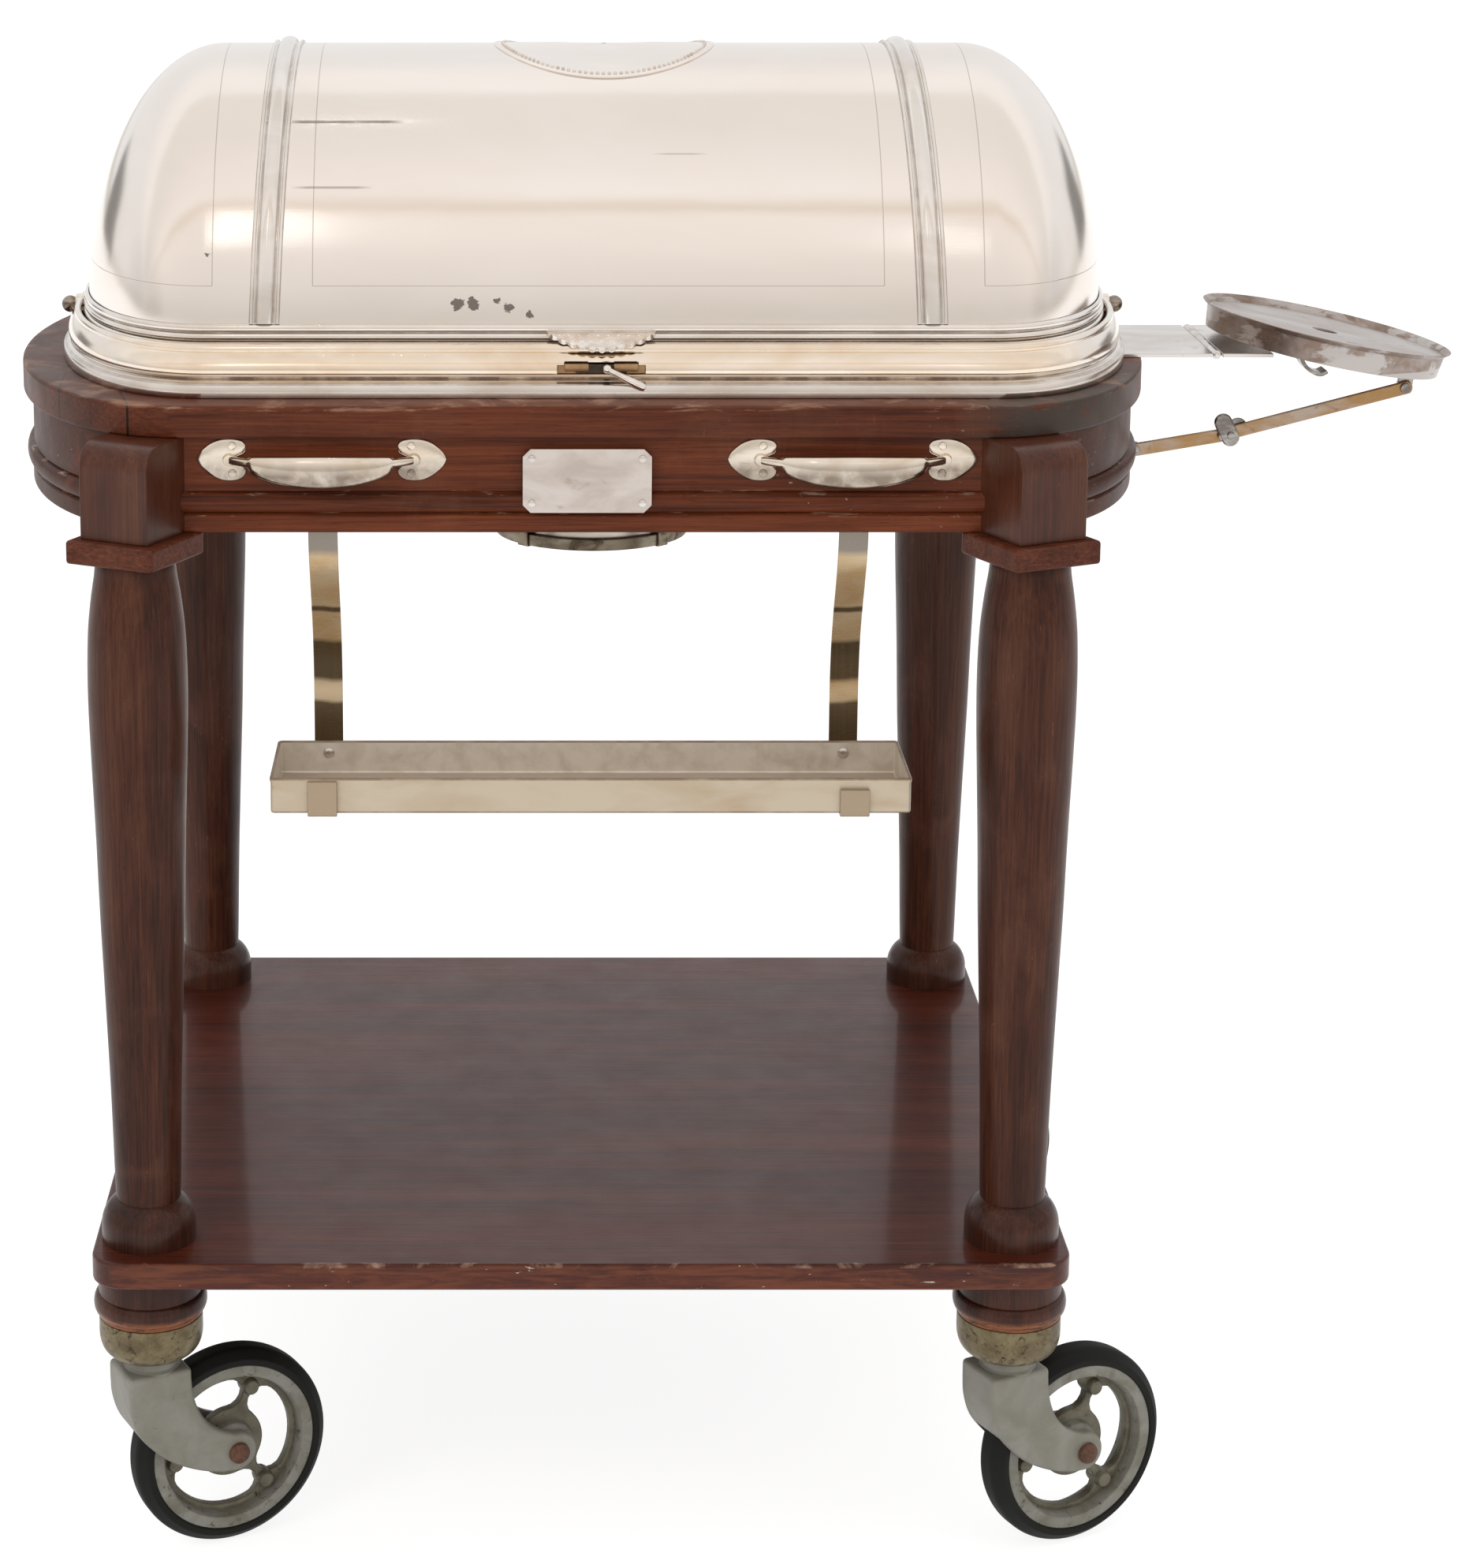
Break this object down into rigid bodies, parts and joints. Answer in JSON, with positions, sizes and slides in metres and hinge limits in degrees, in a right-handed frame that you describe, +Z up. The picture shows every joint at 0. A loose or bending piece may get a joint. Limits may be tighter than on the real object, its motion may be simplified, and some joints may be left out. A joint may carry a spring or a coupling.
{
  "type": "carving trolley",
  "caption": "Carving trolley: a silver roll-top dome over a well in a wooden stand with turned legs, shelf, swivel casters, hanging trough and folding plate stand.",
  "frame": {"origin": "on the floor under the middle of the overall box, plate stand included", "axes": "+X towards the plate stand, -Y the front with the pulls and the trough, +Z up"},
  "size_m": [1.0982, 0.6614, 1.1062],
  "materials": {
    "mahogany": "varnished",
    "turned_mahogany": "polished",
    "silver_plate": "silver plate, polished, lightly tarnished",
    "inner_silver": "silver plate, satin",
    "gilt_rim": "warm plated metal, polished",
    "dull_silver": "tarnished plate",
    "brassy_sheet": "worn sheet",
    "cast_iron": "grey cast, greasy",
    "cup_metal": "grimy plate",
    "rusty_steel": "rusty",
    "tyre_rubber": "black rubber"
  },
  "bodies": {
    "frame": {"top_board": "mahogany", "apron_front": "mahogany", "apron_back": "mahogany", "apron_left": "mahogany", "apron_right": "mahogany", "leg_front_left": "turned_mahogany", "leg_front_right": "turned_mahogany", "leg_back_left": "turned_mahogany", "leg_back_right": "turned_mahogany", "leg_caps": "mahogany", "leg_collars": "turned_mahogany", "shelf": "mahogany", "feet": "turned_mahogany", "caster_cups": "cup_metal", "well_rim": "gilt_rim", "pivot_pins": "silver_plate", "catch_keeper": "dull_silver", "water_pan": "inner_silver", "pan_hangers": "inner_silver", "carving_dish": "inner_silver", "burner_ring": "dull_silver", "spirit_burner": "inner_silver", "pull_left": "silver_plate", "pull_right": "silver_plate", "nameplate": "silver_plate", "small_screws": "dull_silver", "trough": "brassy_sheet", "strap_left": "brassy_sheet", "strap_right": "brassy_sheet", "stand_arm": "dull_silver", "stand_hinge_pin": "dull_silver", "apron_lug": "dull_silver"},
    "dome": {"dome_shell": "silver_plate", "dome_border": "silver_plate", "dome_bands": "silver_plate", "thumb_lift": "silver_plate", "cartouche": "silver_plate"},
    "catch": {"catch_lever": "silver_plate"},
    "caster_front_left": {"fork_front_left": "cast_iron", "axle_front_left": "rusty_steel"},
    "roller_front_left": {"wheel_front_left": "cast_iron", "tyre_front_left": "tyre_rubber"},
    "caster_front_right": {"fork_front_right": "cast_iron", "axle_front_right": "rusty_steel"},
    "roller_front_right": {"wheel_front_right": "cast_iron", "tyre_front_right": "tyre_rubber"},
    "caster_back_left": {"fork_back_left": "cast_iron", "axle_back_left": "rusty_steel"},
    "roller_back_left": {"wheel_back_left": "cast_iron", "tyre_back_left": "tyre_rubber"},
    "caster_back_right": {"fork_back_right": "cast_iron", "axle_back_right": "rusty_steel"},
    "roller_back_right": {"wheel_back_right": "cast_iron", "tyre_back_right": "tyre_rubber"},
    "plate_stand": {"stand_leaf": "dull_silver", "plate_dish": "dull_silver", "dish_lug": "dull_silver"},
    "lower_stay": {"stay_lower": "dull_silver"},
    "upper_stay": {"stay_upper": "dull_silver"},
    "stay_latch": {"stay_catch": "dull_silver"}
  },
  "joints": [
    {"name": "dome_roll", "type": "hinge", "parent": "frame", "child": "dome", "pos_m": [-0.11207, -0.01067, 0.9], "axis": [-1, 0, 0], "range_deg": [0, 170]},
    {"name": "catch_turn", "type": "hinge", "parent": "frame", "child": "catch", "pos_m": [-0.10657, -0.24467, 0.8915], "axis": [0, 1, 0], "range_deg": [-100, 0]},
    {"name": "swivel_front_left", "type": "hinge", "parent": "frame", "child": "caster_front_left", "pos_m": [-0.44007, -0.28067, 0.165], "axis": [0, 0, 1], "continuous": true},
    {"name": "roll_front_left", "type": "hinge", "parent": "caster_front_left", "child": "roller_front_left", "pos_m": [-0.3875, -0.25389, 0.076], "axis": [-0.454, 0.891, 0], "continuous": true},
    {"name": "swivel_front_right", "type": "hinge", "parent": "frame", "child": "caster_front_right", "pos_m": [0.19193, -0.28067, 0.165], "axis": [0, 0, 1], "continuous": true},
    {"name": "roll_front_right", "type": "hinge", "parent": "caster_front_right", "child": "roller_front_right", "pos_m": [0.2445, -0.25389, 0.076], "axis": [-0.454, 0.891, 0], "continuous": true},
    {"name": "swivel_back_left", "type": "hinge", "parent": "frame", "child": "caster_back_left", "pos_m": [-0.44007, 0.25933, 0.165], "axis": [0, 0, 1], "continuous": true},
    {"name": "roll_back_left", "type": "hinge", "parent": "caster_back_left", "child": "roller_back_left", "pos_m": [-0.3875, 0.28611, 0.076], "axis": [-0.454, 0.891, 0], "continuous": true},
    {"name": "swivel_back_right", "type": "hinge", "parent": "frame", "child": "caster_back_right", "pos_m": [0.19193, 0.25933, 0.165], "axis": [0, 0, 1], "continuous": true},
    {"name": "roll_back_right", "type": "hinge", "parent": "caster_back_right", "child": "roller_back_right", "pos_m": [0.2445, 0.28611, 0.076], "axis": [-0.454, 0.891, 0], "continuous": true},
    {"name": "stand_fold", "type": "hinge", "parent": "frame", "child": "plate_stand", "pos_m": [0.35893, -0.02067, 0.8722], "axis": [0, 1, 0], "range_deg": [0, 80]},
    {"name": "stay_lower_turn", "type": "hinge", "parent": "frame", "child": "lower_stay", "pos_m": [0.30993, -0.02067, 0.787], "axis": [0, -1, 0], "range_deg": [0, 46.94]},
    {"name": "stay_upper_turn", "type": "hinge", "parent": "plate_stand", "child": "upper_stay", "pos_m": [0.51828, -0.02067, 0.83531], "axis": [0, 1, 0], "range_deg": [0, 24.97]},
    {"name": "stay_catch_turn", "type": "hinge", "parent": "lower_stay", "child": "stay_latch", "pos_m": [0.38293, -0.02067, 0.7995], "axis": [0, -1, 0], "range_deg": [0, 90]}
  ],
  "couplings": [
    {"joint": "stay_lower_turn", "follows": "stand_fold", "ratio": 0.58675},
    {"joint": "stay_upper_turn", "follows": "stand_fold", "ratio": 0.31211}
  ]
}
